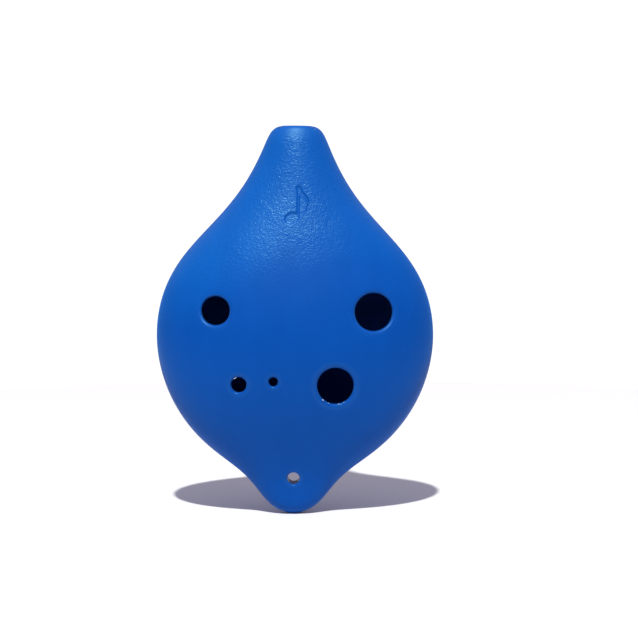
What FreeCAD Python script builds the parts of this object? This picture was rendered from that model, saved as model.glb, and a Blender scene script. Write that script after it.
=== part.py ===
import FreeCAD, Part
import Sketcher
import os

# Six-hole sweet-potato ocarina, injection moulded: two bonded half shells
# and the windway insert that carries the floor and cheeks of the air duct.
#
# Frame, millimetres: the pendant stands upright on its tail.  +Z runs from
# the strap lug (z = 0) to the mouthpiece (z = 120), the finger holes face -Y,
# the thumb holes and the sound window face +Y, and +X is to the right for a
# person who looks at the finger holes.  The shells part on the plane y = 0.

V = FreeCAD.Vector
doc = FreeCAD.newDocument("ocarina")
sheet = doc.addObject("Spreadsheet::Sheet", "dims")
_row = [0]


def cell(alias, value, note=""):
    """One driving dimension: name, number and meaning on a row of its own."""
    _row[0] += 1
    sheet.set("A%d" % _row[0], alias)
    sheet.set("B%d" % _row[0], repr(value))
    sheet.set("C%d" % _row[0], note)
    sheet.setAlias("B%d" % _row[0], alias)


# ---------------------------------------------------------------- dimensions
# Outer form: level, half width and half depth of each elliptical section.
OUTER = [
    (0.00, 0.600, 0.350), (0.25, 2.080, 1.150), (0.80, 3.690, 2.010),
    (1.80, 5.760, 3.000), (3.20, 7.596, 3.735), (5.00, 9.308, 4.260),
    (7.20, 11.081, 4.790), (10.00, 13.413, 5.560), (13.00, 16.516, 6.721),
    (16.00, 20.365, 8.108), (19.50, 24.986, 9.916), (23.50, 29.467, 12.064),
    (28.00, 33.386, 14.346), (33.00, 36.697, 16.496), (38.50, 39.394, 18.266),
    (44.50, 41.404, 19.469), (50.50, 42.536, 19.973), (56.50, 42.821, 19.863),
    (62.50, 42.237, 19.230), (68.50, 40.698, 18.164), (74.00, 38.300, 16.887),
    (79.00, 35.164, 15.546), (84.00, 31.129, 14.103), (89.00, 26.550, 12.624),
    (94.00, 22.055, 11.172), (99.00, 18.116, 9.798), (104.00, 14.857, 8.541),
    (108.00, 12.689, 7.628), (112.00, 10.827, 6.752), (114.50, 9.756, 6.166),
    (116.50, 8.862, 5.632), (117.80, 8.128, 5.225), (118.70, 7.394, 4.860),
    (119.30, 6.644, 4.497), (119.70, 5.824, 4.089), (119.92, 4.948, 3.620),
    (120.00, 4.175, 3.000),
]
# Chamber: level, and how much further than the wall the section shrinks at
# that level because the wall is measured square to a sloping surface.
INNER = [
    (16.00, 20.365, 8.108, 1.661, 1.111), (17.50, 22.392, 8.865, 1.681, 1.122),
    (19.50, 24.986, 9.916, 1.631, 1.132), (23.50, 29.467, 12.064, 1.442, 1.134),
    (28.00, 33.386, 14.346, 1.274, 1.111), (33.00, 36.697, 16.496, 1.161, 1.073),
    (38.50, 39.394, 18.266, 1.086, 1.035), (44.50, 41.404, 19.469, 1.035, 1.010),
    (50.50, 42.536, 19.973, 1.007, 1.000), (56.50, 42.821, 19.863, 1.000, 1.002),
    (62.50, 42.237, 19.230, 1.016, 1.011), (68.50, 40.698, 18.164, 1.061, 1.022),
    (74.00, 38.300, 16.887, 1.142, 1.032), (79.00, 35.164, 15.546, 1.247, 1.039),
    (84.00, 31.129, 14.103, 1.341, 1.043), (89.00, 26.550, 12.624, 1.362, 1.043),
    (94.00, 22.055, 11.172, 1.304, 1.039), (99.00, 18.116, 9.798, 1.223, 1.034),
    (104.00, 14.857, 8.541, 1.154, 1.028), (108.00, 12.689, 7.628, 1.114, 1.024),
    (112.00, 10.827, 6.752, 1.090, 1.025),
]
for i, (z, w, d) in enumerate(OUTER):
    cell("skin_z_%02d" % i, z, "outer section level")
    cell("skin_w_%02d" % i, w, "outer section half width")
    cell("skin_d_%02d" % i, d, "outer section half depth")
for i, (z, w, d, kw, kd) in enumerate(INNER):
    cell("room_z_%02d" % i, z, "chamber section level")
    cell("room_w_%02d" % i, w, "skin half width at that level")
    cell("room_d_%02d" % i, d, "skin half depth at that level")
    cell("room_kw_%02d" % i, kw, "wall factor across")
    cell("room_kd_%02d" % i, kd, "wall factor front to back")
for alias, value, note in [
    ("total_length", 120.0, "tail tip to mouth"),
    ("wall", 2.0, "shell wall, square to the surface"),
    ("split_span", 60.0, "half size of the block that parts the shells"),
    # finger holes, moulded along Y
    ("hole_a_x", -23.95, "upper left finger hole"), ("hole_a_z", 63.25, ""), ("hole_a_rad", 4.38, ""),
    ("hole_b_x", 23.9, "upper right finger hole"), ("hole_b_z", 63.3, ""), ("hole_b_rad", 5.75, ""),
    ("hole_c_x", -16.7, "lower left finger hole"), ("hole_c_z", 40.9, ""), ("hole_c_rad", 2.35, ""),
    ("hole_d_x", 12.55, "lower right finger hole"), ("hole_d_z", 40.9, ""), ("hole_d_rad", 5.57, ""),
    ("hole_e_x", -6.2, "sub hole"), ("hole_e_z", 42.0, ""), ("hole_e_rad", 1.40, ""),
    # thumb holes
    ("thumb_a_x", -21.2, "thumb hole behind the lower left finger hole"), ("thumb_a_z", 44.95, ""), ("thumb_a_rad", 4.80, ""),
    ("thumb_b_x", 20.8, "thumb hole behind the lower right finger hole"), ("thumb_b_z", 46.2, ""), ("thumb_b_rad", 5.20, ""),
    ("strap_x", 0.0, "strap hole"), ("strap_z", 11.4, ""), ("strap_rad", 1.90, ""),
    ("rim_round", 0.9, "rounding of the finger and thumb hole rims"),
    ("strap_round", 0.4, "rounding of the strap hole rims"),
    # windway
    ("mouth_z", 120.0, "mouth end of the windway"),
    ("exit_z", 92.0, "inner end of the windway"),
    ("head_z", 112.0, "underside of the insert's head"),
    ("roof_mouth", 2.9, "windway roof above the parting plane at the mouth"),
    ("roof_exit", 9.6, "windway roof above the parting plane at the exit"),
    ("floor_mouth", 1.0, "windway floor at the mouth"),
    ("floor_exit", 8.5, "windway floor at the exit"),
    ("plate_thick", 2.2, "insert plate below the floor, measured along Y"),
    ("duct_half_mouth", 4.3, "windway half width at the mouth"),
    ("duct_half_exit", 6.5, "windway half width at the exit"),
    ("cheek", 1.1, "insert cheek beside the windway"),
    ("head_front_mouth", 2.9, "head of the insert in front of the parting plane, at the mouth"),
    ("head_front_base", 4.7, "the same at the underside of the head"),
    ("play", 0.05, "gap round the insert"),
    # the insert's mouth end is rounded like the shells: a cap of an ellipsoid
    ("cap_centre_z", 116.436, "centre of the ellipsoid"), ("cap_half_x", 9.9, ""),
    ("cap_half_y", 6.7, ""), ("cap_half_z", 4.0, ""),
    ("rail", 1.6, "rail of the back shell beside the socket"),
    # window and labium
    ("window_half", 6.5, "half width of the sound window"),
    ("window_low", 86.0, "labium edge"),
    ("lip_low_y", 10.3, "underside of the labium edge"),
    ("lip_high_y", 10.6, "top side of the labium edge"),
    ("ramp_slope", 0.60, "rise of the ramp per mm towards the tail"),
    ("under_slope", 0.28, "rise of the labium's underside per mm"),
    ("lip_root_z", 70.0, "root of the labium block"),
    ("lip_block_half", 8.1, "half width of the labium block"),
    # tongue and groove of the parting joint
    ("tongue_out", 0.65, "skin to tongue"), ("tongue_wide", 0.70, ""), ("tongue_high", 0.80, ""),
    ("groove_play", 0.05, "gap round the tongue"),
    ("joint_low", 3.0, "lowest level of the tongue"), ("joint_high", 108.0, "highest level"),
]:
    cell(alias, value, note)
doc.recompute()


def bind(obj, prop, expr):
    obj.setExpression(prop, expr)


# ------------------------------------------------------------------- helpers
def section_loft(name, rows):
    """A solid through elliptical sections; rows hold (z, w, d) expressions."""
    rings = []
    for i, (ez, ew, ed) in enumerate(rows):
        e = doc.addObject("Part::Ellipse", "%s_ring_%02d" % (name, i))
        e.MajorRadius, e.MinorRadius = 50.0, 1.0
        bind(e, "MajorRadius", ew)
        bind(e, "MinorRadius", ed)
        bind(e, "Placement.Base.z", ez)
        rings.append(e)
    loft = doc.addObject("Part::Loft", name)
    loft.Sections = rings
    loft.Solid = True
    loft.Ruled = False
    return loft


SIDE = FreeCAD.Rotation(V(1, 1, 1), 120)      # sketch x = Y, sketch y = Z
PLAN = FreeCAD.Rotation(V(1, 0, 0), 90)       # sketch x = X, sketch y = Z


def prism(name, rotation, corners, along, expr_fwd, expr_rev="0 mm"):
    """A closed polygon whose corners are bound to the sheet, pulled along an axis."""
    sk = doc.addObject("Sketcher::SketchObject", name + "_sketch")
    sk.Placement = FreeCAD.Placement(V(0, 0, 0), rotation)
    n = len(corners)
    start = [V(c[2], c[3], 0) for c in corners]
    for i in range(n):
        sk.addGeometry(Part.LineSegment(start[i], start[(i + 1) % n]), False)
    for i in range(n):
        sk.addConstraint(Sketcher.Constraint("Coincident", i, 2, (i + 1) % n, 1))
    for i, (ex, ey, gx, gy) in enumerate(corners):
        a = sk.addConstraint(Sketcher.Constraint("DistanceX", -1, 1, i, 1, gx))
        bind(sk, "Constraints[%d]" % a, ex)
        b = sk.addConstraint(Sketcher.Constraint("DistanceY", -1, 1, i, 1, gy))
        bind(sk, "Constraints[%d]" % b, ey)
    ex = doc.addObject("Part::Extrusion", name)
    ex.Base = sk
    ex.DirMode = "Custom"
    ex.Dir = along
    ex.Solid = True
    bind(ex, "LengthFwd", expr_fwd)
    bind(ex, "LengthRev", expr_rev)
    return ex


def drill(name, key, toward):
    """A cylinder along Y from just behind the parting plane out through the skin."""
    c = doc.addObject("Part::Cylinder", name)
    bind(c, "Radius", "dims.%s_rad" % key)
    bind(c, "Height", "dims.split_span")
    c.Placement = FreeCAD.Placement(V(0, 0, 0), FreeCAD.Rotation(V(1, 0, 0), -90 * toward))
    bind(c, "Placement.Base.x", "dims.%s_x" % key)
    bind(c, "Placement.Base.z", "dims.%s_z" % key)
    return c


def box(name, x, y, z, length, width, height):
    b = doc.addObject("Part::Box", name)
    for prop, e in (("Length", length), ("Width", width), ("Height", height),
                    ("Placement.Base.x", x), ("Placement.Base.y", y), ("Placement.Base.z", z)):
        bind(b, prop, e)
    return b


def cut(name, base, tool):
    c = doc.addObject("Part::Cut", name)
    c.Base, c.Tool = base, tool
    return c


def common(name, *shapes):
    c = doc.addObject("Part::MultiCommon", name)
    c.Shapes = list(shapes)
    return c


def fuse(name, *shapes):
    c = doc.addObject("Part::MultiFuse", name)
    c.Shapes = list(shapes)
    return c


# --------------------------------------------------------------- whole forms
skin = section_loft("skin", [("dims.skin_z_%02d" % i, "dims.skin_w_%02d" % i, "dims.skin_d_%02d" % i)
                             for i in range(len(OUTER))])
room = section_loft("room", [("dims.room_z_%02d" % i,
                              "dims.room_w_%02d - dims.wall * dims.room_kw_%02d" % (i, i),
                              "dims.room_d_%02d - dims.wall * dims.room_kd_%02d" % (i, i))
                             for i in range(len(INNER))])
front_side = box("front_side", "-dims.split_span", "-dims.split_span", "-1",
                 "2 * dims.split_span", "dims.split_span", "dims.total_length + 2")
back_side = box("back_side", "-dims.split_span", "0", "-1",
                "2 * dims.split_span", "dims.split_span", "dims.total_length + 2")

# ------------------------------------------------------------ windway prisms
over = "dims.mouth_z + 1"
roof_over = "dims.roof_mouth - (dims.roof_exit - dims.roof_mouth) / (dims.mouth_z - dims.exit_z)"
floor_over = "dims.floor_mouth - (dims.floor_exit - dims.floor_mouth) / (dims.mouth_z - dims.exit_z)"
front_over = "-(dims.head_front_mouth - (dims.head_front_base - dims.head_front_mouth) / (dims.mouth_z - dims.head_z))"
floor_head = "dims.floor_mouth + (dims.floor_exit - dims.floor_mouth) * (dims.mouth_z - dims.head_z) / (dims.mouth_z - dims.exit_z)"
insert_side = prism("insert_side", SIDE, [
    (front_over, over, -2.7, 121.0),
    ("-dims.head_front_base", "dims.head_z", -4.7, 112.0),
    (floor_head + " - dims.plate_thick", "dims.head_z", 0.94, 112.0),
    ("dims.floor_exit - dims.plate_thick", "dims.exit_z", 6.3, 92.0),
    ("dims.roof_exit", "dims.exit_z", 9.6, 92.0),
    (roof_over, over, 2.7, 121.0)], V(1, 0, 0), "15 mm", "15 mm")
slope = "(dims.duct_half_exit - dims.duct_half_mouth) / (dims.mouth_z - dims.exit_z)"
hm = "(dims.duct_half_mouth - %s)" % slope


def taper(name, extra, low, low_extra=""):
    """Symmetric plan trapezoid that widens with the windway, pulled both ways along Y."""
    top = "(%s + %s)" % (hm, extra)
    bot = "(dims.duct_half_exit + %s + %s * (dims.exit_z - (%s)))" % (extra, slope, low)
    return prism(name, PLAN, [
        ("-" + top, over, -5.3, 121.0), (top, over, 5.3, 121.0),
        (bot, low, 7.6, 92.0), ("-" + bot, low, -7.6, 92.0)], V(0, 1, 0), "15 mm", "15 mm")


insert_plan = taper("insert_plan", "dims.cheek", "dims.exit_z")
socket_plan = taper("socket_plan", "dims.cheek + dims.play", "dims.exit_z")
core_plan = taper("core_plan", "dims.cheek + dims.rail", "dims.exit_z")
duct_plan = taper("duct_plan", "0", "dims.exit_z - 1")
duct_side = prism("duct_side", SIDE, [
    (floor_over, over, 0.7, 121.0),
    ("dims.floor_exit", "dims.exit_z", 8.5, 92.0),
    ("dims.floor_exit", "dims.exit_z - 0.5", 8.5, 91.5),
    ("dims.roof_exit + 2", "dims.exit_z - 0.5", 11.6, 91.5),
    ("dims.roof_exit + 2", "dims.exit_z", 11.6, 92.0),
    ("(%s) + 2" % roof_over, over, 4.7, 121.0)], V(1, 0, 0), "15 mm", "15 mm")
duct = common("duct", duct_side, duct_plan)

# ------------------------------------------------------------- windway block
insert_blank = common("insert_blank", insert_side, insert_plan)
cap_ball = doc.addObject("Part::Ellipsoid", "cap_ball")
for prop, e in (("Radius1", "dims.cap_half_z"), ("Radius2", "dims.cap_half_x"),
                ("Radius3", "dims.cap_half_y"), ("Placement.Base.z", "dims.cap_centre_z")):
    bind(cap_ball, prop, e)
cap_block = box("cap_block", "-20", "-20", "dims.cap_centre_z", "40", "40", "8")
cap_below = box("cap_below", "-20", "-20", "dims.cap_centre_z - 1", "40", "40", "dims.mouth_z - dims.cap_centre_z + 1")
cap_keep = common("cap_keep", cap_ball, cap_below)
cap_waste = cut("cap_waste", cap_block, cap_keep)
insert_round = cut("insert_round", insert_blank, cap_waste)
windway_block = cut("windway_block", insert_round, duct)

# --------------------------------------------------------------- front shell
head_side = prism("head_side", SIDE, [
    (front_over + " - dims.play", over, -2.75, 121.0),
    ("-dims.head_front_base - dims.play", "dims.head_z", -4.75, 112.0),
    ("-dims.head_front_base - dims.play", "dims.head_z - dims.play", -4.75, 111.95),
    ("1 mm", "dims.head_z - dims.play", 1.0, 111.95),
    ("1 mm", over, 1.0, 121.0)], V(1, 0, 0), "15 mm", "15 mm")
head_pocket = common("head_pocket", head_side, socket_plan)
front_half = common("front_half", skin, front_side)


def joint_ring(name, inset, width):
    """Flat band in the parting plane that follows the outline, inset from the skin."""
    lo = getattr(sheet, "joint_low")
    hi = getattr(sheet, "joint_high")
    pts = [(getattr(sheet, "skin_z_%02d" % i), getattr(sheet, "skin_w_%02d" % i)) for i in range(len(OUTER))]
    pts = [p for p in pts if lo - 4 < p[0] < hi + 6]
    curve = Part.BSplineCurve()
    curve.interpolate([V(w, 0, z) for z, w in pts])
    lines = []
    for off in (inset, inset + width):
        side = []
        n = 60
        first, last = curve.FirstParameter, curve.LastParameter
        for j in range(n + 1):
            t = first + (last - first) * j / n
            p = curve.value(t)
            g = curve.tangent(t)[0]
            q = V(p.x - off * g.z, 0, p.z + off * g.x)
            if lo - 1.5 < q.z < hi + 1.5:
                side.append(q)
        c = Part.BSplineCurve()
        c.interpolate(side)
        lines.append(c)
    outer_c, inner_c = lines
    wire = Part.Wire([outer_c.toShape(),
                      Part.LineSegment(outer_c.EndPoint, inner_c.EndPoint).toShape(),
                      inner_c.toShape(),
                      Part.LineSegment(inner_c.StartPoint, outer_c.StartPoint).toShape()])
    band = Part.Face(wire)
    other = band.mirror(V(0, 0, 0), V(1, 0, 0))
    f = doc.addObject("Part::Feature", name)
    f.Shape = Part.Compound([band, other])
    f.Placement = FreeCAD.Placement(V(0, 0, 0), FreeCAD.Rotation())
    return f


play = getattr(sheet, "groove_play")
groove_band = joint_ring("groove_band", getattr(sheet, "tongue_out") - play, getattr(sheet, "tongue_wide") + 2 * play)
tongue_band = joint_ring("tongue_band", getattr(sheet, "tongue_out"), getattr(sheet, "tongue_wide"))
groove_pull = doc.addObject("Part::Extrusion", "groove_pull")
groove_pull.Base, groove_pull.DirMode, groove_pull.Dir, groove_pull.Solid = groove_band, "Custom", V(0, 1, 0), True
bind(groove_pull, "LengthRev", "dims.tongue_high + dims.groove_play")
bind(groove_pull, "LengthFwd", "1 mm")
groove_zone = box("groove_zone", "-dims.split_span", "-5", "dims.joint_low - dims.groove_play",
                  "2 * dims.split_span", "10", "dims.joint_high - dims.joint_low + 2 * dims.groove_play")
groove = common("groove", groove_pull, groove_zone)
tongue_pull = doc.addObject("Part::Extrusion", "tongue_pull")
tongue_pull.Base, tongue_pull.DirMode, tongue_pull.Dir, tongue_pull.Solid = tongue_band, "Custom", V(0, 1, 0), True
bind(tongue_pull, "LengthRev", "dims.tongue_high")
bind(tongue_pull, "LengthFwd", "0.4 mm")
tongue_zone = box("tongue_zone", "-dims.split_span", "-5", "dims.joint_low",
                  "2 * dims.split_span", "10", "dims.joint_high - dims.joint_low")
tongue = common("tongue", tongue_pull, tongue_zone)

front_drills = [drill("drill_%s" % k, "hole_" + k, -1) for k in "abcde"]
strap_front = drill("strap_front", "strap", -1)
strap_back = drill("strap_back", "strap", 1)
front_hollow = cut("front_hollow", front_half, room)
front_open = front_hollow
for i, tool in enumerate([head_pocket, groove, strap_front] + front_drills):
    front_open = cut("front_step_%d" % i, front_open, tool)

# ---------------------------------------------------------------- back shell
back_half = common("back_half", skin, back_side)
lip_block = prism("lip_block", SIDE, [
    ("dims.lip_low_y", "dims.window_low", 10.3, 86.0),
    ("dims.lip_low_y + dims.under_slope * (dims.window_low - dims.lip_root_z)", "dims.lip_root_z", 14.78, 70.0),
    ("30 mm", "dims.lip_root_z", 30.0, 70.0),
    ("30 mm", "dims.window_low", 30.0, 86.0)], V(1, 0, 0), "dims.lip_block_half", "dims.lip_block_half")
room_clear_1 = cut("room_clear_1", room, core_plan)
room_clear_2 = cut("room_clear_2", room_clear_1, lip_block)
back_hollow = cut("back_hollow", back_half, room_clear_2)
socket_side = prism("socket_side", SIDE, [
    ("-1 mm", "dims.exit_z - 0.5", -1.0, 91.5),
    ("dims.roof_exit", "dims.exit_z - 0.5", 9.6, 91.5),
    ("dims.roof_exit", "dims.exit_z", 9.6, 92.0),
    (roof_over, over, 2.7, 121.0),
    ("-1 mm", over, -1.0, 121.0)], V(1, 0, 0), "15 mm", "15 mm")
socket = common("socket", socket_side, socket_plan)
window = box("window", "-dims.window_half", "5", "dims.window_low",
             "2 * dims.window_half", "30", "dims.exit_z - dims.window_low")
ramp = prism("ramp", SIDE, [
    ("dims.lip_high_y", "dims.window_low", 10.6, 86.0),
    ("dims.lip_high_y + dims.ramp_slope * 16", "dims.window_low - 16", 20.2, 70.0),
    ("35 mm", "dims.window_low - 16", 35.0, 70.0),
    ("35 mm", "dims.window_low + 0.5", 35.0, 86.5),
    ("dims.lip_high_y", "dims.window_low + 0.5", 10.6, 86.5)], V(1, 0, 0), "dims.window_half", "dims.window_half")
back_drills = [drill("drill_thumb_%s" % k, "thumb_" + k, 1) for k in "ab"]
back_open = fuse("back_tongued", back_hollow, tongue)
for i, tool in enumerate([socket, window, ramp, strap_back] + back_drills):
    back_open = cut("back_step_%d" % i, back_open, tool)
doc.recompute()


# ----------------------------------------------------------- rounded rims
def rim_edges(shape, keys, side):
    """Edges where each bore breaks the outer skin: the outermost loop of each bore."""
    found = []
    for key, rad_cell in keys:
        x = getattr(sheet, key + "_x")
        z = getattr(sheet, key + "_z")
        r = getattr(sheet, key + "_rad")
        best = []
        for n, e in enumerate(shape.Edges, 1):
            pts = e.discretize(9)
            if all(abs(((p.x - x) ** 2 + (p.z - z) ** 2) ** 0.5 - r) < 0.02 for p in pts):
                span = max(p.y for p in pts) - min(p.y for p in pts)
                mean = sum(p.y for p in pts) / len(pts) * side
                if e.Length > 1.2 * r and mean > 1.0:
                    best.append((mean, n, e))
        top = max(b[0] for b in best)
        for mean, n, e in best:
            if mean > top - 0.75 * getattr(sheet, "wall"):
                found.append((n, getattr(sheet, rad_cell), getattr(sheet, rad_cell)))
    return found


def rounded(name, base, keys, side):
    f = doc.addObject("Part::Fillet", name)
    f.Base = base
    f.Edges = rim_edges(base.Shape, keys, side)
    return f


front_shell = rounded("front_shell", front_open,
                      [("hole_a", "rim_round"), ("hole_b", "rim_round"), ("hole_c", "rim_round"),
                       ("hole_d", "rim_round"), ("hole_e", "rim_round"), ("strap", "strap_round")], -1)
back_shell = rounded("back_shell", back_open,
                     [("thumb_a", "rim_round"), ("thumb_b", "rim_round"), ("strap", "strap_round")], 1)
doc.recompute()

# ------------------------------------------------------------------- outputs
for obj in doc.Objects:
    if "Invalid" in obj.State or "Error" in obj.State:
        raise RuntimeError("%s failed: %s" % (obj.Label, obj.State))
parts = [front_shell, back_shell, windway_block]
for obj in parts:
    obj.Placement = FreeCAD.Placement(V(0, 0, 0), FreeCAD.Rotation())
doc.recompute()
os.makedirs("parts", exist_ok=True)
for obj in parts:
    s = obj.Shape
    if s.isNull() or not s.isValid() or len(s.Solids) != 1:
        raise RuntimeError("%s is not one valid solid" % obj.Label)
    s.exportStep("parts/%s.step" % obj.Label)
    b = s.optimalBoundingBox(True, True) if hasattr(s, "optimalBoundingBox") else s.BoundBox
    print("%-14s volume %.1f mm3, box %.2f %.2f %.2f to %.2f %.2f %.2f" % (
        obj.Label, s.Volume, b.XMin, b.YMin, b.ZMin, b.XMax, b.YMax, b.ZMax))
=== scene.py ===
import math
import time

import bmesh
import bpy
import numpy as np
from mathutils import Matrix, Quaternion, Vector
from mathutils.geometry import delaunay_2d_cdt


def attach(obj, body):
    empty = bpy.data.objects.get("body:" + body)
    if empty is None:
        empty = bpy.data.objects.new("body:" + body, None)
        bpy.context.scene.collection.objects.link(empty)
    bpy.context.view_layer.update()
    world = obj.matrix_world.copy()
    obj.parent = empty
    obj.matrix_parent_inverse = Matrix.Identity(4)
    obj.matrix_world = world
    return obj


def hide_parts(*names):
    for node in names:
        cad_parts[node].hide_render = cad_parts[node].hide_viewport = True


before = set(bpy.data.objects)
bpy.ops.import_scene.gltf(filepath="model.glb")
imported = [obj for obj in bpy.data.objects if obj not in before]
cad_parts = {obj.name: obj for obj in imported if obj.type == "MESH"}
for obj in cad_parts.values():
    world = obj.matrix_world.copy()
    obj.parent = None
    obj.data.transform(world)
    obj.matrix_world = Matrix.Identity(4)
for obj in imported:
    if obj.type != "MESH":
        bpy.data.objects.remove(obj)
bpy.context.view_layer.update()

MM = 0.001
t_start = time.perf_counter()

# ------------------------------------------------------------------ profiles
# Elliptical sections of the outer skin and of the air chamber, in millimetres:
# level, half width (X), half depth (Y).
SKIN = [
    (0, 0.6, 0.35), (0.0281, 1.0869, 0.6044), (0.1316, 1.6408, 0.9068), (0.3105, 2.2834, 1.262), (0.5625,
    3.0511, 1.6766), (0.9174, 3.983, 2.1587), (1.4371, 5.1139, 2.7064), (2.2464, 6.4308, 3.288), (3.4474,
    7.8595, 3.8244), (5.0064, 9.3134, 4.2616), (6.7841, 10.7532, 4.6892), (8.6288, 12.2305, 5.1554), (10.4229,
    13.8038, 5.7015), (12.0976, 15.4983, 6.3386), (13.6539, 17.3017, 7.0087), (15.1191, 19.1835, 7.6828),
    (16.5398, 21.0946, 8.3757), (17.9574, 22.997, 9.1006), (19.4023, 24.8638, 9.8638), (20.9004, 26.6702,
    10.6689), (22.4638, 28.4031, 11.5108), (24.1, 30.0527, 12.3812), (25.8135, 31.6123, 13.2685), (27.6045,
    33.0817, 14.1565), (29.4735, 34.4608, 15.0286), (31.4199, 35.7496, 15.869), (33.4426, 36.9475, 16.6622),
    (35.5401, 38.0525, 17.3936), (37.7099, 39.0597, 18.0515), (39.9483, 39.9633, 18.6243), (42.2496, 40.7563,
    19.1036), (44.6064, 41.4315, 19.4837), (47.0097, 41.9812, 19.76), (49.4491, 42.399, 19.9314), (51.9131,
    42.6792, 19.9989), (54.3899, 42.8174, 19.9658), (56.8674, 42.8106, 19.8383), (59.3341, 42.6568, 19.6236),
    (61.7791, 42.3551, 19.3307), (64.1919, 41.9055, 18.9692), (66.563, 41.3081, 18.5497), (68.8831, 40.5635,
    18.0834), (71.1438, 39.6737, 17.581), (73.3385, 38.6443, 17.0531), (75.4614, 37.4811, 16.5097), (77.5114,
    36.1966, 15.9591), (79.4904, 34.8054, 15.4079), (81.4038, 33.3235, 14.861), (83.2623, 31.7713, 14.3198),
    (85.0786, 30.1677, 13.7847), (86.8672, 28.5314, 13.2551), (88.6438, 26.881, 12.7292), (90.4245, 25.2343,
    12.2051), (92.2226, 23.6065, 11.6816), (94.0503, 22.0122, 11.1577), (95.9181, 20.4653, 10.6332), (97.8319,
    18.9755, 10.1097), (99.7964, 17.5521, 9.5892), (101.813, 16.2017, 9.0746), (103.881, 14.9271, 8.5694),
    (105.997, 13.7305, 8.0762), (108.156, 12.6112, 7.5937), (110.348, 11.5664, 7.1161), (112.551, 10.5878,
    6.6278), (114.715, 9.6648, 6.1122), (116.713, 8.7556, 5.57), (118.297, 7.76, 5.0389), (119.255, 6.7133,
    4.5308), (119.708, 5.8016, 4.0777), (119.897, 5.0848, 3.6989), (119.971, 4.5457, 3.356), (120, 4.175, 3)
]
ROOM = [
    (16, 17.043, 5.886), (16.4974, 17.6902, 6.1255), (17.1184, 18.516, 6.4304), (17.9256, 19.6061, 6.8361),
    (19.0138, 21.0759, 7.3971), (20.4859, 23.0083, 8.1751), (22.3684, 25.3095, 9.1869), (24.5863, 27.7251,
    10.3759), (27.0614, 30.0476, 11.658), (29.7468, 32.1944, 12.9543), (32.621, 34.1419, 14.1984), (35.6752,
    35.8792, 15.3319), (38.9003, 37.3934, 16.304), (42.2811, 38.6645, 17.0749), (45.7936, 39.6661, 17.6208),
    (49.4056, 40.3717, 17.9279), (53.0775, 40.7595, 17.9963), (56.7668, 40.8134, 17.8407), (60.4316, 40.5246,
    17.4867), (64.0329, 39.8919, 16.9677), (67.535, 38.9141, 16.3205), (70.9045, 37.5938, 15.5832), (74.116,
    35.9496, 14.7932), (77.1581, 34.0179, 13.982), (80.0397, 31.8531, 13.1719), (82.7946, 29.5249, 12.3719),
    (85.4692, 27.1013, 11.5823), (88.1147, 24.6437, 10.7989), (90.7818, 22.2094, 10.0166), (93.5135, 19.8489,
    9.2316), (96.3377, 17.6009, 8.4441), (99.2652, 15.4879, 7.6606), (102.306, 13.5354, 6.8915), (105.455,
    11.7532, 6.1479), (108.694, 10.1282, 5.4282), (112, 8.647, 4.702)
]


class Form:
    """A smooth surface through elliptical sections, on a natural cubic spline."""

    def __init__(self, rows):
        P = np.array(rows, float)
        t = np.r_[0, np.cumsum(np.linalg.norm(np.diff(P, axis=0), axis=1))]
        n, h = len(t), np.diff(t)
        A, B = np.zeros((n, n)), np.zeros((n, 3))
        A[0, 0] = A[-1, -1] = 1
        for i in range(1, n - 1):
            A[i, i - 1], A[i, i], A[i, i + 1] = h[i - 1], 2 * (h[i - 1] + h[i]), h[i]
            B[i] = 6 * ((P[i + 1] - P[i]) / h[i] - (P[i] - P[i - 1]) / h[i - 1])
        M = np.linalg.solve(A, B)
        x = np.linspace(0, t[-1], 24001)
        k = np.clip(np.searchsorted(t, x) - 1, 0, n - 2)
        a, b, hk = (t[k + 1] - x)[:, None], (x - t[k])[:, None], h[k][:, None]
        E = (M[k] * a ** 3 + M[k + 1] * b ** 3) / (6 * hk) + (P[k] / hk - M[k] * hk / 6) * a + (P[k + 1] / hk - M[k + 1] * hk / 6) * b
        up = np.r_[True, np.diff(np.maximum.accumulate(E[:, 0])) > 0]
        self.z, self.w, self.d = E[up].T
        self.v = np.r_[0, np.cumsum(np.sqrt(np.diff(self.z) ** 2 + 0.5 * (np.diff(self.w) ** 2 + np.diff(self.d) ** 2)))]
        self.dw = np.gradient(self.w, self.z)
        self.dd = np.gradient(self.d, self.z)

    def wd(self, z):
        return np.interp(z, self.z, self.w), np.interp(z, self.z, self.d)

    def v_of(self, z):
        return np.interp(z, self.z, self.v)

    def z_of(self, v):
        return np.interp(v, self.v, self.z)

    def point(self, th, z):
        w, d = self.wd(z)
        return np.stack([w * np.cos(th), d * np.sin(th), z], -1)

    def y_at(self, x, z, side):
        """Depth of the surface over (x, z), on the side -1 (front) or +1 (back)."""
        w, d = self.wd(z)
        return side * d * np.sqrt(np.clip(1 - (x / w) ** 2, 0, 1))

    def theta(self, p, side):
        """Angle of points on the surface: 0..pi on the back, pi..2 pi on the front."""
        w, d = self.wd(p[:, 2])
        y = np.where(side * p[:, 1] > 0, p[:, 1], side * 1e-9)
        th = np.arctan2(y / d, p[:, 0] / w)
        return np.where(th < 0, th + 2 * math.pi, th) if side < 0 else np.where(th < -1, th + 2 * math.pi, th)

    def gap(self, p):
        """Signed distance to the surface, to first order, and its unit normals."""
        w, d = self.wd(p[:, 2])
        dw, dd = np.interp(p[:, 2], self.z, self.dw), np.interp(p[:, 2], self.z, self.dd)
        r = np.sqrt((p[:, 0] / w) ** 2 + (p[:, 1] / d) ** 2) + 1e-12
        g = np.stack([p[:, 0] / w ** 2, p[:, 1] / d ** 2, -(p[:, 0] ** 2 / w ** 3 * dw + p[:, 1] ** 2 / d ** 3 * dd)], -1) / r[:, None]
        L = np.linalg.norm(g, axis=1) + 1e-12
        return (r - 1) / L, g / L[:, None]


skin, room = Form(SKIN), Form(ROOM)

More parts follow.
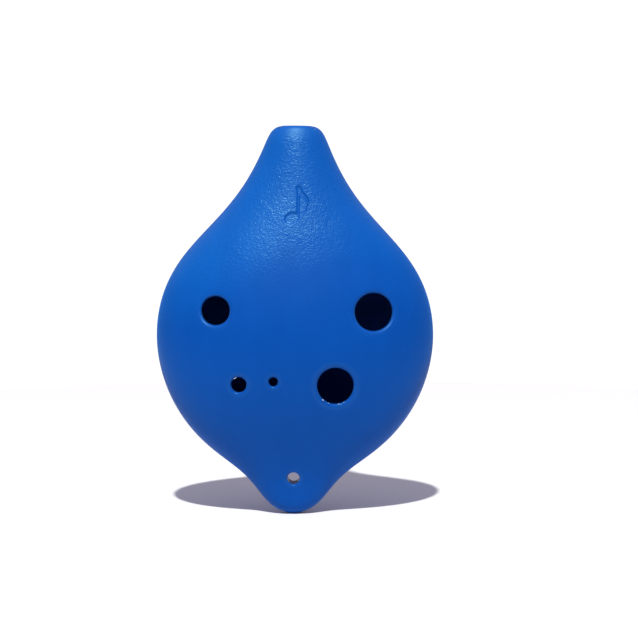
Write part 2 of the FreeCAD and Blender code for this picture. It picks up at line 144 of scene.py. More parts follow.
# ------------------------------------------------------------------- meshing
SIDE = {"front_shell": -1, "back_shell": 1}
# bore centre x, z, radius, rim rounding, points round the bore
BORES = {
    "front_shell": [(-23.95, 63.25, 4.38, 1.40, 80), (23.9, 63.3, 5.75, 1.55, 96), (-16.7, 40.9, 2.35, 1.25, 64),
                    (12.55, 40.9, 5.57, 1.60, 96), (-6.2, 42.0, 1.40, 1.00, 52), (0.0, 11.4, 1.90, 0.90, 56)],
    "back_shell": [(-21.2, 44.95, 4.80, 1.40, 88), (20.8, 46.2, 5.20, 1.45, 92), (0.0, 11.4, 1.90, 0.90, 56)],
}
SEAM_CUT = 0.13          # half width of the fine V where the shells meet
U_SCALE = 33.0           # millimetres per radian in the flat plan used for triangulating


def smooth01(x):
    x = np.clip(x, 0, 1)
    return x * x * (3 - 2 * x)


def near(points, others, block=1500):
    """Distance from each point to the nearest of the others."""
    out = np.empty(len(points))
    for i in range(0, len(points), block):
        d = points[i:i + block, None, :] - others[None, :, :]
        out[i:i + block] = np.sqrt((d * d).sum(-1).min(1))
    return out


def inside(points, loop):
    """Even-odd test of plan points against a closed plan polygon."""
    x, y = points[:, 0], points[:, 1]
    hit = np.zeros(len(points), bool)
    a, b = loop, np.roll(loop, -1, 0)
    for (x0, y0), (x1, y1) in zip(a, b):
        if y0 != y1:
            cross = ((y0 > y) != (y1 > y)) & (x < (x1 - x0) * (y - y0) / (y1 - y0) + x0)
            hit ^= cross
    return hit


def chains(edges):
    """Closed loops of vertex numbers from unordered pairs."""
    link = {}
    for a, b in edges:
        link.setdefault(a, []).append(b)
        link.setdefault(b, []).append(a)
    loops, left = [], set(link)
    while left:
        start = min(left)
        loop, prev, cur = [start], None, start
        while True:
            left.discard(cur)
            nxt = [n for n in link[cur] if n != prev]
            if not nxt:
                break
            prev, cur = cur, nxt[0]
            if cur == start or cur not in left:
                break
            loop.append(cur)
        loops.append(loop)
    return loops


def cover(bm, form, side, edges, grid, keep_off, name):
    """Fills the part of a form bounded by these pairs of vertices with an even mesh.
    grid holds extra surface points (theta, z), and keep_off is how near to the border each may lie."""
    verts = []
    number = {}
    for a, b in edges:
        for v in (a, b):
            if v not in number:
                number[v] = len(verts)
                verts.append(v)
    P = np.array([v.co for v in verts], float)
    th, V = form.theta(P, side), form.v_of(P[:, 2])
    plan = np.stack([th * U_SCALE, V], 1)
    pairs = [(number[a], number[b]) for a, b in edges]
    loops = chains(pairs)
    area = [abs(0.5 * np.sum(plan[l, 0] * np.roll(plan[l, 1], -1) - np.roll(plan[l, 0], -1) * plan[l, 1])) for l in loops]
    rim = int(np.argmax(area))
    gth, gz = grid
    G = form.point(gth, gz)
    gp = np.stack([gth * U_SCALE, form.v_of(gz)], 1)
    ok = inside(gp, plan[loops[rim]])
    for k, l in enumerate(loops):
        if k != rim:
            ok &= ~inside(gp, plan[l])
    ok &= near(G, P) > keep_off
    G, gp = G[ok], gp[ok]
    coords = [Vector(p) for p in plan] + [Vector(p) for p in gp]
    out = delaunay_2d_cdt(coords, pairs, [], 1, 1e-7)
    ov, faces, origin = out[0], out[2], out[3]
    fresh = [bm.verts.new(p) for p in G]
    pool = verts + fresh
    use = []
    for i, o in enumerate(origin):
        if o:
            use.append(pool[o[0]])
        else:
            z = float(form.z_of(ov[i][1]))
            use.append(bm.verts.new(form.point(np.array([ov[i][0] / U_SCALE]), np.array([z]))[0]))
    flat = np.array([[p[0], p[1]] for p in ov])
    mid = np.array([flat[list(f)].mean(0) for f in faces])
    good = np.ones(len(faces), bool)
    for k, l in enumerate(loops):
        if k != rim:
            good &= ~inside(mid, plan[l])
    made = []
    for f, g in zip(faces, good):
        if g:
            vs = [use[i] for i in f]
            if len(set(vs)) == 3:
                try:
                    made.append(bm.faces.new(vs))
                except ValueError:
                    pass
    for v in fresh:
        if not v.link_faces:
            bm.verts.remove(v)
    print("%s: %d border points, %d inner points, %d faces" % (name, len(verts), len(G), len(made)))
    return made


def levels(form, z0, z1, step, fine, reach):
    """Levels along a form, closer together within reach of its two ends."""
    va, vb = form.v_of(z0), form.v_of(z1)
    s = np.linspace(va, vb, 8001)
    gap = np.minimum(s - va, vb - s)
    dens = 1 / (fine + (step - fine) * smooth01(gap / reach))
    c = np.r_[0, np.cumsum((dens[1:] + dens[:-1]) / 2 * np.diff(s))]
    n = int(round(c[-1]))
    return form.z_of(np.interp(np.arange(1, n) * c[-1] / n, c, s))


def ring(bm, pts):
    return [bm.verts.new(p) for p in pts]


def wall_between(bm, a, b):
    """Quads between two rings of the same count."""
    n = len(a)
    for i in range(n):
        j = (i + 1) % n
        bm.faces.new((a[i], a[j], b[j], b[i]))


def zip_rings(bm, a, b, cx, cz):
    """Triangles between two rings round one bore whose counts differ."""
    ang = lambda v: math.atan2(v.co.z - cz, v.co.x - cx)
    a, b = sorted(a, key=ang), sorted(b, key=ang)
    A = [ang(v) for v in a] + [ang(a[0]) + 2 * math.pi]
    B = [ang(v) for v in b] + [ang(b[0]) + 2 * math.pi]
    i = j = 0
    while i < len(a) or j < len(b):
        va, vb = a[i % len(a)], b[j % len(b)]
        if j >= len(b) or (i < len(a) and A[i + 1] <= B[j + 1]):
            bm.faces.new((va, a[(i + 1) % len(a)], vb))
            i += 1
        else:
            bm.faces.new((va, b[(j + 1) % len(b)], vb))
            j += 1


def split_run(edge, parts):
    """Divides an edge into equal parts, keeping the faces beside it, and returns the new vertices in order."""
    v0 = edge.verts[0]
    v, new = v0, []
    for j in range(parts - 1):
        _, v = bmesh.utils.edge_split(edge, v, 1.0 / (parts - j))
        new.append(v)
    return new


def shell(node):
    side = SIDE[node]
    bm = bmesh.new()
    bm.from_mesh(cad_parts[node].data)
    bmesh.ops.remove_doubles(bm, verts=bm.verts, dist=1e-7)
    bmesh.ops.scale(bm, vec=(1000, 1000, 1000), verts=bm.verts)
    bm.normal_update()
    bm.verts.index_update()
    P = np.array([v.co for v in bm.verts], float)
    on = []
    for F in (skin, room):
        g, _ = F.gap(P)
        on.append((np.abs(g) < 0.008) & (P[:, 2] > F.z[0] - 1e-3) & (P[:, 2] < F.z[-1] + 1e-3))
    C = np.array([f.calc_center_median() for f in bm.faces])
    N = np.array([f.normal for f in bm.faces])
    facing = [(skin.gap(C)[1] * N).sum(1), (room.gap(C)[1] * N).sum(1)]
    kind = {}
    for k, f in enumerate(bm.faces):
        ids = [v.index for v in f.verts]
        p = P[ids]
        if np.all(np.abs(p[:, 1]) < 1e-3) or np.all(p[:, 2] < 1e-3):
            kind[f] = "flat"
        elif on[0][ids].all() and (facing[0][k] > 0.9 or p[:, 2].max() < 4):
            kind[f] = "skin"
        elif on[1][ids].all() and facing[1][k] < -0.9:
            kind[f] = "room"
        else:
            kind[f] = "other"
            for n, (cx, cz, r, f_, _) in enumerate(BORES[node]):
                rho = np.hypot(p[:, 0] - cx, p[:, 2] - cz)
                if rho.min() > r - 0.03 and rho.max() < r + 1.4:
                    kind[f] = n
    skin_edges, room_edges, bore_edges = [], [], {}
    for e in bm.edges:
        ks = {kind[f] for f in e.link_faces}
        if len(ks) == 2:
            solid = [k for k in ks if k in ("flat", "other")]
            if solid and "skin" in ks:
                skin_edges.append(e)
            elif solid and "room" in ks:
                room_edges.append(e)
            elif solid and len(solid) == 1:
                bore_edges.setdefault([k for k in ks if isinstance(k, int)][0], []).append(e)
    bmesh.ops.delete(bm, geom=[f for f, k in kind.items() if k in ("skin", "room") or isinstance(k, int)], context="FACES")

    # the parting edge: finer, and set back into a shallow V
    is_seam = lambda v: abs(v.co.y) < 1e-3
    seam = [e for e in skin_edges if is_seam(e.verts[0]) and is_seam(e.verts[1]) and abs(e.verts[0].co.x + e.verts[1].co.x) > 1.25
            and e.verts[0].co.z < 119.97 and e.verts[1].co.z < 119.97]
    seam_set = set(seam)
    border = [(e.verts[0], e.verts[1]) for e in skin_edges if e not in seam_set]
    seam_pairs = []
    for e in seam:
        a, b = e.verts
        va, vb = skin.v_of(a.co.z), skin.v_of(b.co.z)
        parts = max(1, int(math.ceil(e.calc_length() / 0.7)))
        run = [a] + split_run(e, parts) + [b]
        for j, v in enumerate(run[1:-1], 1):
            z = float(skin.z_of(va + (vb - va) * j / parts))
            v.co = (math.copysign(float(skin.wd(z)[0]), a.co.x), 0, z)
        seam_pairs += list(zip(run[:-1], run[1:]))
    line = {v for pair in seam_pairs for v in pair}
    vs = {v: float(skin.v_of(v.co.z)) for v in line}
    lo, hi = min(vs.values()), max(vs.values())
    lip = {}
    moves = {}
    for v in line:
        c = SEAM_CUT * float(smooth01(min(vs[v] - lo, hi - vs[v]) / 1.5))
        if c < 1e-4:
            lip[v] = v
            continue
        z = v.co.z
        w, d = skin.wd(z)
        a = math.asin(c / d)
        left = v.co.x < 0
        th = (math.pi + a if left else 2 * math.pi - a) if side < 0 else (math.pi - a if left else a)
        lip[v] = bm.verts.new(skin.point(np.array([th]), np.array([z]))[0])
        n = skin.gap(np.array([v.co], float))[1][0]
        moves[v] = (v.co.x - c * n[0], 0.0, v.co.z - c * n[2])
    for v, p in moves.items():
        v.co = p
    for a, b in seam_pairs:
        quad = [a, b, lip[b], lip[a]]
        bm.faces.new([v for i, v in enumerate(quad) if v not in quad[:i]])
        border.append((lip[a], lip[b]))

    # bores, with rounded rims outside
    room_border = [(e.verts[0], e.verts[1]) for e in room_edges]
    for n, (cx, cz, r, f, count) in enumerate(BORES[node]):
        phi = np.linspace(0, 2 * math.pi, count, endpoint=False)
        co, si = np.cos(phi), np.sin(phi)
        at = lambda rho, form: np.stack([cx + rho * co, form.y_at(cx + rho * co, cz + rho * si, side), cz + rho * si], 1)
        P0, P1 = at(r + f, skin), at(r, skin)
        P2 = P1 - np.array([0, side * min(f, 1.15), 0])
        rings = [ring(bm, P0)]
        for t in (0.14, 0.28, 0.42, 0.56, 0.70, 0.85, 1.0):
            rings.append(ring(bm, P0 * (1 - t) ** 2 + P1 * 2 * t * (1 - t) + P2 * t * t))
        if n in bore_edges:
            End = P2.copy()
            End[:, 1] = side * 0.25
        else:
            End = at(r, room)
        for t in (0.33, 0.67, 1.0):
            rings.append(ring(bm, P2 * (1 - t) + End * t))
        for a, b in zip(rings[:-1], rings[1:]):
            wall_between(bm, a, b)
        border += [(rings[0][i], rings[0][(i + 1) % count]) for i in range(count)]
        if n in bore_edges:
            foot = list({v for e in bore_edges[n] for v in e.verts})
            zip_rings(bm, rings[-1], foot, cx, cz)
        else:
            last = rings[-1]
            room_border += [(last[i], last[(i + 1) % count]) for i in range(count)]

    # outer skin
    th0, th1 = (math.pi, 2 * math.pi) if side < 0 else (0.0, math.pi)
    ths = np.linspace(th0, th1, 133)[1:-1]
    zs = levels(skin, 0.0, 120.0, 0.86, 0.24, 9.0)
    T, Z = np.meshgrid(ths, zs)
    T, Z = T.ravel(), Z.ravel()
    step = np.full(T.size, 0.30)
    if node == "front_shell":
        # a closer mesh where the sunk mark lies
        G = skin.point(T, Z)
        for margin, pitch in ((1.3, 0.42), (0.0, 0.135)):
            X0, X1, Z0, Z1 = MARK_BOX[0] - margin, MARK_BOX[1] + margin, MARK_BOX[2] - margin, MARK_BOX[3] + margin
            out = ~((G[:, 0] > X0) & (G[:, 0] < X1) & (G[:, 2] > Z0) & (G[:, 2] < Z1) & (G[:, 1] < 0))
            T, Z, step, G = T[out], Z[out], step[out], G[out]
            gx, gz = np.meshgrid(np.arange(X0 + pitch / 2, X1, pitch), np.arange(Z0 + pitch / 2, Z1, pitch))
            gx, gz = gx.ravel(), gz.ravel()
            w, _ = skin.wd(gz)
            th = 2 * math.pi - np.arccos(gx / w)
            T, Z, step = np.r_[T, th], np.r_[Z, gz], np.r_[step, np.full(th.size, pitch * 0.5)]
            G = skin.point(T, Z)
    outer = cover(bm, skin, side, border, (T, Z), step, node + " skin")
    # chamber
    ths = np.linspace(th0, th1, 64)[1:-1]
    zs = levels(room, 16.0, 112.0, 1.7, 1.2, 6.0)
    T, Z = [a.ravel() for a in np.meshgrid(ths, zs)]
    inner = cover(bm, room, side, room_border, (T, Z), np.full(T.size, 0.5), node + " chamber")

    bmesh.ops.join_triangles(bm, faces=outer + inner, angle_face_threshold=0.35, angle_shape_threshold=0.9)
    bmesh.ops.recalc_face_normals(bm, faces=bm.faces)
    bm.verts.ensure_lookup_table()
    if node == "front_shell":
        for v in bm.verts:
            x, y, z = v.co
            if y < -5 and MARK_BOX[0] < x < MARK_BOX[1] and MARK_BOX[2] < z < MARK_BOX[3]:
                p = np.array([[x, y, z]])
                g, n = skin.gap(p)
                if abs(g[0]) < 0.01:
                    v.co = Vector(p[0] - n[0] * float(mark_depth(np.array([x]), np.array([z]))[0]))
    open_edges = [e for e in bm.edges if len(e.link_faces) != 2]
    print("%s: %d vertices, %d faces, %d open edges, volume %.1f mm3" % (
        node, len(bm.verts), len(bm.faces), len(open_edges), bm.calc_volume()))
    for e in open_edges[:6]:
        print("   open edge", [tuple(round(c, 3) for c in v.co) for v in e.verts], len(e.link_faces))
    for e in bm.edges:
        e.smooth = not (len(e.link_faces) == 2 and e.calc_face_angle(0) > math.radians(28))
    for f in bm.faces:
        f.smooth = True
    bmesh.ops.scale(bm, vec=(MM, MM, MM), verts=bm.verts)
    me = bpy.data.meshes.new(node + "_body")
    bm.to_mesh(me)
    bm.free()
    ob = bpy.data.objects.new(node + "_moulding", me)
    bpy.context.scene.collection.objects.link(ob)
    return ob


# The sunk mark on the neck: a plain eighth note.
MARK_BOX = (-5.0, 6.6, 88.4, 102.8)
MARK = (0.55, 95.6)


def mark_gap(x, z):
    """Signed distance to the outline of the note, negative inside, in millimetres."""
    u, v = x - MARK[0], z - MARK[1]
    # head
    a = math.radians(22)
    hu, hv = u + 1.75, v + 4.05
    p, q = hu * math.cos(a) + hv * math.sin(a), -hu * math.sin(a) + hv * math.cos(a)
    ra, rb = 2.35, 1.72
    k = np.sqrt((p / ra) ** 2 + (q / rb) ** 2)
    k2 = np.sqrt((p / ra ** 2) ** 2 + (q / rb ** 2) ** 2) + 1e-9
    head = k * (k - 1) / k2
    # stem
    sx, s0, s1, sw = 0.18, -3.6, 5.6, 0.42
    dx, dz = np.abs(u - sx) - sw, np.maximum(s0 - v, v - s1)
    stem = np.minimum(np.maximum(dx, dz), 0) + np.hypot(np.maximum(dx, 0), np.maximum(dz, 0))
    # flag: a swelling stroke along a curve
    flag = np.full(np.shape(u), 9.0)
    n = 46
    for i in range(n + 1):
        t = i / n
        bx = 0.30 * (1 - t) ** 3 + 3 * 0.55 * t * (1 - t) ** 2 + 3 * 4.6 * t * t * (1 - t) + 2.75 * t ** 3
        bz = 5.0 * (1 - t) ** 3 + 3 * 2.9 * t * (1 - t) ** 2 + 3 * 2.4 * t * t * (1 - t) + -1.9 * t ** 3
        flag = np.minimum(flag, np.hypot(u - bx, v - bz) - (0.62 * (1 - t) + 0.20))
    return np.minimum(np.minimum(head, stem), flag)


def mark_depth(x, z):
    """How far the surface is sunk: a flat floor 0.42 mm down with rounded shoulders."""
    g = mark_gap(x, z)
    return 0.42 * smooth01((0.22 - g) / 0.62)

# ----------------------------------------------------------------- materials
class Tree:
    """Short-hand for building a node material."""

    def __init__(self, name):
        self.mat = bpy.data.materials.new(name)
        self.mat.use_nodes = True
        self.t = self.mat.node_tree
        self.t.nodes.clear()
        self.out = self.t.nodes.new("ShaderNodeOutputMaterial")

    def node(self, kind, **settings):
        n = self.t.nodes.new(kind)
        for key, value in settings.items():
            if hasattr(n, key):
                setattr(n, key, value)
            else:
                n.inputs[key.replace("_", " ")].default_value = value
        return n

    def link(self, a, b):
        self.t.links.new(a, b)

    def math(self, op, a, b=None, clamp=False):
        n = self.t.nodes.new("ShaderNodeMath")
        n.operation, n.use_clamp = op, clamp
        for i, v in enumerate((a, b)):
            if v is None:
                continue
            if isinstance(v, (int, float)):
                n.inputs[i].default_value = v
            else:
                self.link(v, n.inputs[i])
        return n.outputs[0]

    def ramp(self, fac, a, b, v0=0.0, v1=1.0):
        n = self.t.nodes.new("ShaderNodeMapRange")
        n.interpolation_type = "SMOOTHSTEP"
        self.link(fac, n.inputs["Value"])
        n.inputs["From Min"].default_value, n.inputs["From Max"].default_value = a, b
        n.inputs["To Min"].default_value, n.inputs["To Max"].default_value = v0, v1
        return n.outputs[0]

    def mix(self, fac, a, b):
        n = self.t.nodes.new("ShaderNodeMix")
        n.data_type = "RGBA"
        A = [s for s in n.inputs if s.name == "A" and s.type == "RGBA"][0]
        B = [s for s in n.inputs if s.name == "B" and s.type == "RGBA"][0]
        F = [s for s in n.inputs if s.name == "Factor" and s.type == "VALUE"][0]
        for sock, v in ((F, fac), (A, a), (B, b)):
            if isinstance(v, (int, float, tuple)):
                sock.default_value = v
            else:
                self.link(v, sock)
        return [s for s in n.outputs if s.type == "RGBA"][0]

    def noise(self, vec, size_mm, detail=2.0, rough=0.5):
        n = self.node("ShaderNodeTexNoise")
        n.inputs["Scale"].default_value = 1000.0 / size_mm
        n.inputs["Detail"].default_value = detail
        n.inputs["Roughness"].default_value = rough
        self.link(vec, n.inputs["Vector"])
        return n.outputs[0]

    def cells(self, vec, size_mm, feature="F1"):
        n = self.node("ShaderNodeTexVoronoi")
        n.feature = feature
        n.inputs["Scale"].default_value = 1000.0 / size_mm
        self.link(vec, n.inputs["Vector"])
        return n

    def bump(self, height, strength, distance_mm, normal=None):
        n = self.node("ShaderNodeBump")
        n.inputs["Strength"].default_value = strength
        n.inputs["Distance"].default_value = distance_mm * MM
        self.link(height, n.inputs["Height"])
        if normal is not None:
            self.link(normal, n.inputs["Normal"])
        return n.outputs[0]


def plastic(name, deep, light, rough, grain, spec, neck=False):
    """Coloured moulding compound with a spark-eroded skin.
    The shells' skin is crisp on the neck and handled smooth lower down; its colour holds painted light, mixed towards a
    lighter copy on the neck and shoulders and more on the left, where the lamp falls."""
    m = Tree(name)
    co = m.node("ShaderNodeTexCoord").outputs["Object"]
    # colour: slow drift of the pigment, and a faint flow streak along the moulding
    drift = m.ramp(m.noise(co, 34.0, 2.0, 0.55), 0.30, 0.70)
    streak_map = m.node("ShaderNodeMapping")
    streak_map.inputs["Scale"].default_value = (1.0, 1.0, 0.22)
    m.link(co, streak_map.inputs["Vector"])
    streak = m.ramp(m.noise(streak_map.outputs[0], 5.5, 3.0, 0.6), 0.35, 0.75)
    fac = m.math("ADD", m.math("MULTIPLY", drift, 0.65), m.math("MULTIPLY", streak, 0.35), clamp=True)
    base = m.mix(fac, deep + (1,), light + (1,))
    # the eroded surface: fine pits on a coarser grain, in slow patches
    fine = m.noise(co, 0.42, 1.0, 0.5)
    grains = m.noise(co, 0.95, 1.0, 0.5)
    pits = m.cells(co, 0.80, "SMOOTH_F1").outputs["Distance"]
    height = m.math("ADD", m.math("MULTIPLY", fine, 0.55), m.math("ADD", m.math("MULTIPLY", pits, 0.25), m.math("MULTIPLY", grains, 0.40)))
    patch = m.ramp(m.noise(co, 6.0, 2.0, 0.6), 0.30, 0.70, 0.80, 1.15)
    wear = m.ramp(m.noise(co, 9.0, 3.0, 0.6), 0.35, 0.70)
    r = m.math("ADD", rough - 0.04, m.math("ADD", m.math("MULTIPLY", wear, 0.05), m.math("MULTIPLY", fine, 0.05)))
    b = m.node("ShaderNodeBsdfPrincipled")
    if neck:
        place = m.node("ShaderNodeSeparateXYZ")
        m.link(co, place.inputs[0])
        z = m.math("ADD", place.outputs["Z"], m.math("MULTIPLY", m.math("SUBTRACT", m.noise(co, 16.0, 2.0), 0.5), 0.012))
        tilted = m.math("SUBTRACT", z, m.math("MULTIPLY", place.outputs["X"], 0.26))
        crisp = m.ramp(tilted, 0.068, 0.087)
        lip = m.ramp(place.outputs["Z"], 0.1150, 0.1185, 1.0, 0.30)
        patch = m.math("MULTIPLY", patch, m.math("MULTIPLY", lip, m.math("ADD", 0.30, m.math("MULTIPLY", crisp, 0.86))))
        r = m.math("ADD", r, m.math("MULTIPLY", m.math("SUBTRACT", 1.0, crisp), 0.14))
        r = m.math("ADD", r, m.ramp(place.outputs["Z"], 0.1150, 0.1185, 0.0, 0.16))
        gloss = m.ramp(tilted, 0.070, 0.100, spec * 0.30, spec * 0.96)
        # the rims of the holes keep the polish of the mould's core pins
        rims = {}
        for node in BORES:
            rims[node] = 0.0
            for cx, cz, radius, width, _ in BORES[node]:
                dx = m.math("SUBTRACT", place.outputs["X"], cx * MM)
                dz = m.math("SUBTRACT", place.outputs["Z"], cz * MM)
                off = m.math("SQRT", m.math("ADD", m.math("MULTIPLY", dx, dx), m.math("MULTIPLY", dz, dz)))
                near = m.ramp(off, (radius + 0.9 * width) * MM, (radius + 1.5 * width) * MM, 1.0, 0.0)
                rims[node] = m.math("MAXIMUM", rims[node], near)
        front = m.math("LESS_THAN", place.outputs["Y"], 0.0)
        rim = m.math("ADD", m.math("MULTIPLY", front, rims["front_shell"]),
                     m.math("MULTIPLY", m.math("SUBTRACT", 1.0, front), rims["back_shell"]))
        r = m.math("SUBTRACT", r, m.math("MULTIPLY", rim, 0.10))
        m.link(m.math("ADD", gloss, m.math("MULTIPLY", rim, spec * 0.36)), b.inputs["Specular IOR Level"])
        # painted light: the base colour is mixed towards a lighter copy up the neck and shoulders, more on the left
        # than on the right, as if lit from above and the left
        side = m.math("SUBTRACT", m.math("MULTIPLY", m.math("ABSOLUTE", place.outputs["X"]), 0.35),
                      m.math("MULTIPLY", place.outputs["X"], 0.15))
        painted_light_mask = m.math("MULTIPLY", m.ramp(m.math("ADD", z, side), 0.072, 0.094),
                      m.ramp(place.outputs["X"], -0.014, 0.004, 1.0, 0.55))
        painted_lit_colour = m.mix(fac, tuple(c * k for c, k in zip(deep, (1.6, 1.46, 1.21))) + (1,),
                        tuple(c * k for c, k in zip(light, (1.6, 1.46, 1.21))) + (1,))
        base = m.mix(painted_light_mask, base, painted_lit_colour)
    else:
        b.inputs["Specular IOR Level"].default_value = spec
    height = m.math("MULTIPLY", height, patch)
    m.link(base, b.inputs["Base Color"])
    m.link(r, b.inputs["Roughness"])
    m.link(m.bump(height, 1.0, 0.160 * grain), b.inputs["Normal"])
    b.inputs["IOR"].default_value = 1.49
    b.inputs["Specular Tint"].default_value = (0.38, 0.95, 1.0, 1)
    b.inputs["Sheen Weight"].default_value = 0.30
    b.inputs["Sheen Roughness"].default_value = 0.50
    b.inputs["Sheen Tint"].default_value = (0.07, 0.36, 1.0, 1)
    b.inputs["Coat Weight"].default_value = 0.05
    b.inputs["Coat Roughness"].default_value = 0.45
    b.inputs["Coat IOR"].default_value = 1.45
    m.link(m.bump(height, 1.0, 0.020 * grain), b.inputs["Coat Normal"])
    m.link(b.outputs[0], m.out.inputs["Surface"])
    return m.mat


shell_mat = plastic("shell_blue_plastic", (0.0002, 0.053, 0.292), (0.0005, 0.061, 0.326), 0.31, 0.95, 0.32, neck=True)
insert_mat = plastic("insert_blue_plastic", (0.0002, 0.050, 0.280), (0.0005, 0.058, 0.310), 0.36, 0.25, 0.25)
flash_mat = plastic("stressed_plastic", (0.22, 0.36, 0.60), (0.34, 0.48, 0.72), 0.50, 0.4, 0.25)

# -------------------------------------------------------------------- pieces
for node in ("front_shell", "back_shell"):
    piece = shell(node)
    piece.data.materials.append(shell_mat)
    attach(piece, "root")
    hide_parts(node)

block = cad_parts["windway_block"]
for s in block.material_slots:
    s.material = insert_mat


def chips(name, spots, seed):
    """Crumbs of flash left on the moulding: irregular slivers, each its own lump in one mesh."""
    rng = np.random.default_rng(seed)
    bm = bmesh.new()
    for (x, y, z), (along, across, high), turn, normal in spots:
        made = bmesh.ops.create_icosphere(bm, subdivisions=2, radius=1.0)["verts"]
        n = Vector(normal).normalized()
        t = Vector((math.cos(turn), 0.0, math.sin(turn)))
        t = (t - n * t.dot(n)).normalized()
        s = n.cross(t)
        lumps = rng.normal(size=(5, 3))
        lumps /= np.linalg.norm(lumps, axis=1)[:, None]
        size = rng.uniform(-0.34, 0.30, 5)
        for v in made:
            d = np.array(v.co)
            k = 1 + sum(a * max(0.0, float(d @ l)) ** 3 for a, l in zip(size, lumps))
            p = v.co * k
            v.co = Vector((x, y, z)) + t * p.x * along + s * p.y * across + n * p.z * high
    bmesh.ops.scale(bm, vec=(MM, MM, MM), verts=bm.verts)
    me = bpy.data.meshes.new(name)
    bm.to_mesh(me)
    bm.free()
    me.shade_smooth()
    ob = bpy.data.objects.new(name, me)
    bpy.context.scene.collection.objects.link(ob)
    return ob


def on_rim(cx, cz, rho, degrees, lift, size):
    a = math.radians(degrees)
    x, z = cx + rho * math.cos(a), cz + rho * math.sin(a)
    y = float(skin.y_at(x, z, -1))
    n = skin.gap(np.array([[x, y, z]]))[1][0]
    return ((x, y - lift, z), size, a + math.pi / 2, tuple(n))


crumbs = chips("moulding_flash", [
    on_rim(12.55, 40.9, 5.66, -130.5, -0.05, (0.34, 0.20, 0.16)),
    on_rim(12.55, 40.9, 5.62, -111.5, -0.02, (0.20, 0.12, 0.10)),
    on_rim(12.55, 40.9, 5.60, -79.0, -0.04, (0.30, 0.10, 0.10)),
    on_rim(12.55, 40.9, 5.60, -62.0, -0.02, (0.16, 0.10, 0.08)),
], 7)
crumbs.data.materials.append(flash_mat)
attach(crumbs, "root")

nibs = chips("gate_nibs", [
    ((5.35, -0.15, 119.50), (0.42, 0.42, 0.36), 0.0, (0.0, 0.0, 1.0)),
    ((-4.75, -0.10, 119.62), (0.55, 0.40, 0.26), 0.0, (0.0, 0.0, 1.0)),
], 3)
nibs.data.materials.append(insert_mat)
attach(nibs, "root")

# --------------------------------------------------------------------- floor
# The instrument leans back a little, so in its own frame the floor rises behind it.
LEAN, CANT = math.radians(2.5), math.radians(-0.86)
up = Vector((math.sin(CANT), -math.sin(LEAN), math.cos(LEAN))).normalized()
bm = bmesh.new()
rows, cols, reach = 24, 96, 0.36
centre = bm.verts.new((0, 0, 0))
last = None
for i in range(1, rows + 1):
    r = reach * (i / rows) ** 1.3
    now = [bm.verts.new((r * math.cos(2 * math.pi * j / cols), r * math.sin(2 * math.pi * j / cols), 0)) for j in range(cols)]
    for j in range(cols):
        k = (j + 1) % cols
        bm.faces.new((centre, now[j], now[k]) if last is None else (last[j], now[j], now[k], last[k]))
    last = now
bmesh.ops.rotate(bm, cent=(0, 0, 0), matrix=Vector((0, 0, 1)).rotation_difference(up).to_matrix(), verts=bm.verts)
me = bpy.data.meshes.new("floor")
bm.to_mesh(me)
bm.free()
me.shade_smooth()
floor = bpy.data.objects.new("floor", me)
bpy.context.scene.collection.objects.link(floor)
floor.location.z = -0.00002
m = Tree("pale_floor")
co = m.node("ShaderNodeTexCoord").outputs["Object"]
tone = m.mix(m.noise(co, 60.0, 2.0), (0.735, 0.745, 0.738, 1), (0.750, 0.760, 0.752, 1))
b = m.node("ShaderNodeBsdfPrincipled")
m.link(tone, b.inputs["Base Color"])
b.inputs["Roughness"].default_value = 0.9
b.inputs["Specular IOR Level"].default_value = 0.1
m.link(b.outputs[0], m.out.inputs["Surface"])
floor.data.materials.append(m.mat)

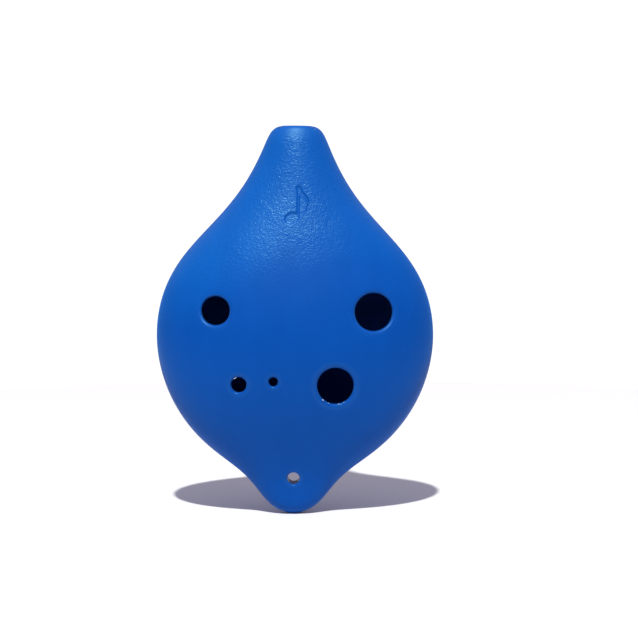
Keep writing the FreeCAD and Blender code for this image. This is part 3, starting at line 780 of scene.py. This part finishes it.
# -------------------------------------------------------------------- lights
world = bpy.data.worlds.new("studio")
bpy.context.scene.world = world
world.use_nodes = True
t = world.node_tree
t.nodes.clear()
out = t.nodes.new("ShaderNodeOutputWorld")
path = t.nodes.new("ShaderNodeLightPath")
amb, seen, mix = t.nodes.new("ShaderNodeBackground"), t.nodes.new("ShaderNodeBackground"), t.nodes.new("ShaderNodeMixShader")
amb.inputs["Color"].default_value = (0.84, 0.785, 1.0, 1)
direction, height = t.nodes.new("ShaderNodeTexCoord"), t.nodes.new("ShaderNodeSeparateXYZ")
sky = t.nodes.new("ShaderNodeMapRange")
sky.interpolation_type = "SMOOTHSTEP"
for name, value in (("From Min", -0.1), ("From Max", 0.8), ("To Min", 0.16), ("To Max", 0.56)):
    sky.inputs[name].default_value = value
t.links.new(direction.outputs["Generated"], height.inputs[0])
t.links.new(height.outputs["Z"], sky.inputs["Value"])
t.links.new(sky.outputs[0], amb.inputs["Strength"])
seen.inputs["Color"].default_value = (1, 1, 1, 1)
seen.inputs["Strength"].default_value = 1.1
t.links.new(path.outputs["Is Camera Ray"], mix.inputs[0])
t.links.new(amb.outputs[0], mix.inputs[1])
t.links.new(seen.outputs[0], mix.inputs[2])
t.links.new(mix.outputs[0], out.inputs["Surface"])


def lamp(name, towards, distance, size, power, colour=(1, 1, 1)):
    """A round area lamp in that direction from the middle of the instrument, facing it."""
    data = bpy.data.lights.new(name, "AREA")
    data.shape, data.size, data.energy, data.color = "DISK", size, power, colour
    ob = bpy.data.objects.new(name, data)
    d = Vector(towards).normalized()
    ob.location = Vector((0, 0, 0.056)) + d * distance
    ob.rotation_euler = d.to_track_quat("Z", "Y").to_euler()
    bpy.context.scene.collection.objects.link(ob)
    return ob


OVER = math.radians(36.7)
lamp("key", Vector((-0.057, -math.sin(OVER), math.cos(OVER))), 4.0, 0.125, 214.0, (1.0, 0.985, 0.95))

# -------------------------------------------------------------------- camera
cam = bpy.data.cameras.new("camera")
camera = bpy.data.objects.new("camera", cam)
bpy.context.scene.collection.objects.link(camera)
bpy.context.scene.camera = camera
VIEW_FROM, RAISED, ROLL = 0.650, math.radians(2.3), math.radians(0.56)
cam.sensor_width = 36.0
cam.lens = 118.35
cam.clip_start, cam.clip_end = 0.01, 20
cam.dof.use_dof = False
aim = Vector((0.00740, 0.0, 0.06074))
back = Vector((0, -math.cos(RAISED), math.sin(RAISED)))
camera.location = aim + back * VIEW_FROM
q = back.to_track_quat("Z", "Y")
camera.rotation_euler = (q @ Quaternion((0, 0, 1), ROLL)).to_euler()

bpy.context.scene.view_settings.view_transform = "Standard"
bpy.context.scene.view_settings.look = "None"

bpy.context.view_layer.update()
print("made in %.1f s" % (time.perf_counter() - t_start))
